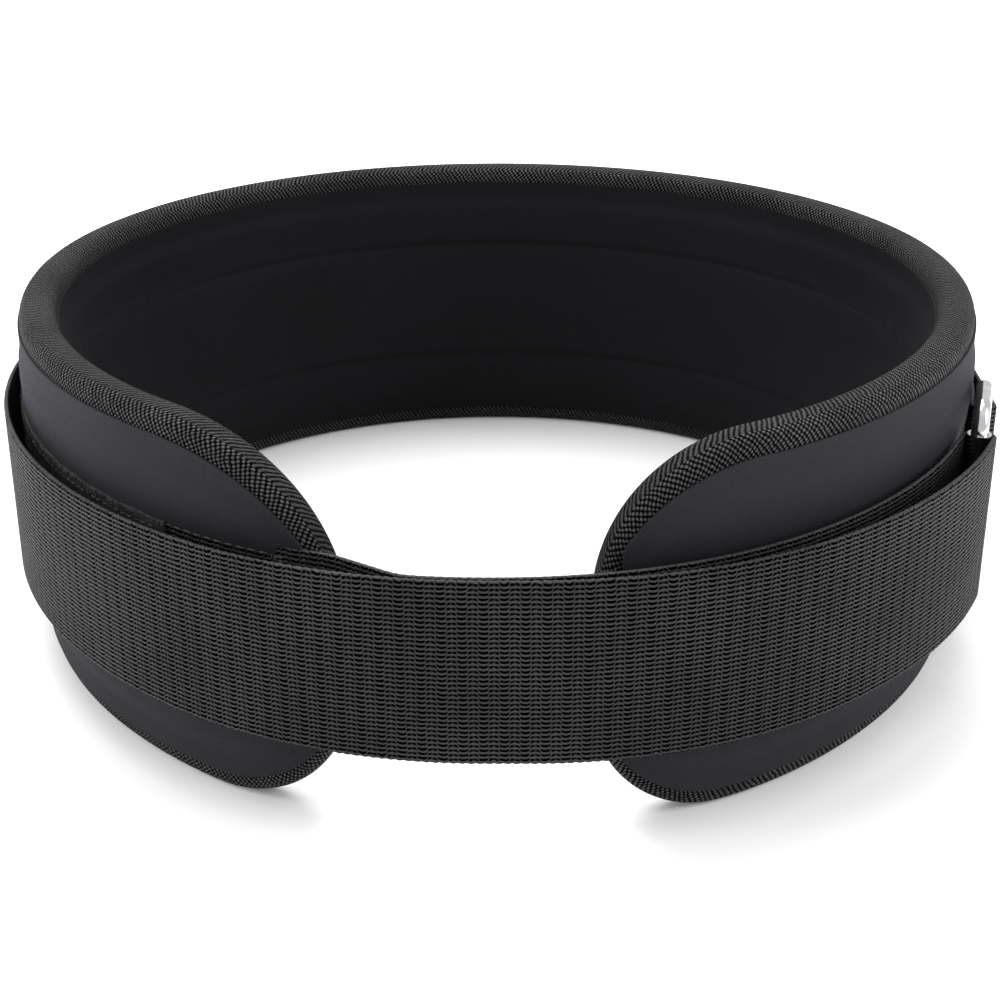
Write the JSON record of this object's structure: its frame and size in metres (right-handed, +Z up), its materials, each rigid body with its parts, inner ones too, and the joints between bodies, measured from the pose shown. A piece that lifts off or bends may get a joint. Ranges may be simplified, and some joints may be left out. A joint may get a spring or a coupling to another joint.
{
  "type": "padded buckle belt",
  "caption": "Padded waist belt with a bound foam body, wide webbing pull strap, metal roller buckle and hook-and-loop tail, closed in a loop.",
  "frame": {"origin": "under the middle of the whole belt, on the surface that it stands on", "axes": "+Z up along the belt's width; the strap's front crossing faces -Y; the buckle is on the +X side and the tail on the -X side"},
  "size_m": [0.3126, 0.3278, 0.108],
  "materials": {
    "foam": "closed-cell foam",
    "cover": "fine knit over neoprene, soft sheen",
    "lining": "fine knit, matt",
    "binding": "woven twill tape",
    "webbing": "heavy woven polypropylene",
    "loop": "brushed loop pile",
    "hook": "moulded hooks",
    "thread": "bonded polyester thread",
    "metal": "polished plated steel"
  },
  "bodies": {
    "belt": {"foam_core": "foam", "outer_cover": "cover", "inner_lining": "lining", "edge_binding": "binding", "binding_seam": "thread", "base_webbing": "webbing", "upper_webbing_seam": "thread", "lower_webbing_seam": "thread", "end_bartack": "thread", "loop_patch": "loop", "loop_patch_seam": "thread", "wear_patch": "binding", "wear_patch_seam": "thread", "buckle_chape": "webbing", "chape_box_stitch": "thread", "strap_inner_run": "webbing", "strap_outer_run": "webbing"},
    "buckle": {"buckle_frame": "metal", "strap_turn": "webbing"},
    "roller": {"buckle_roller": "metal"},
    "tail": {"strap_tail": "webbing", "hook_patch": "hook", "hook_patch_seam": "thread"}
  },
  "joints": [
    {"name": "buckle_hinge", "type": "hinge", "parent": "belt", "child": "buckle", "pos_m": [0.14948, -0.04143, 0.054], "axis": [0, 0, 1], "range_deg": [0, 6]},
    {"name": "roller_spin", "type": "hinge", "parent": "buckle", "child": "roller", "pos_m": [0.14183, -0.06766, 0.054], "axis": [0, 0, 1], "continuous": true},
    {"name": "tail_peel", "type": "hinge", "parent": "belt", "child": "tail", "pos_m": [-0.15602, -0.00483, 0.054], "axis": [0, 0, 1], "range_deg": [0, 75]}
  ]
}
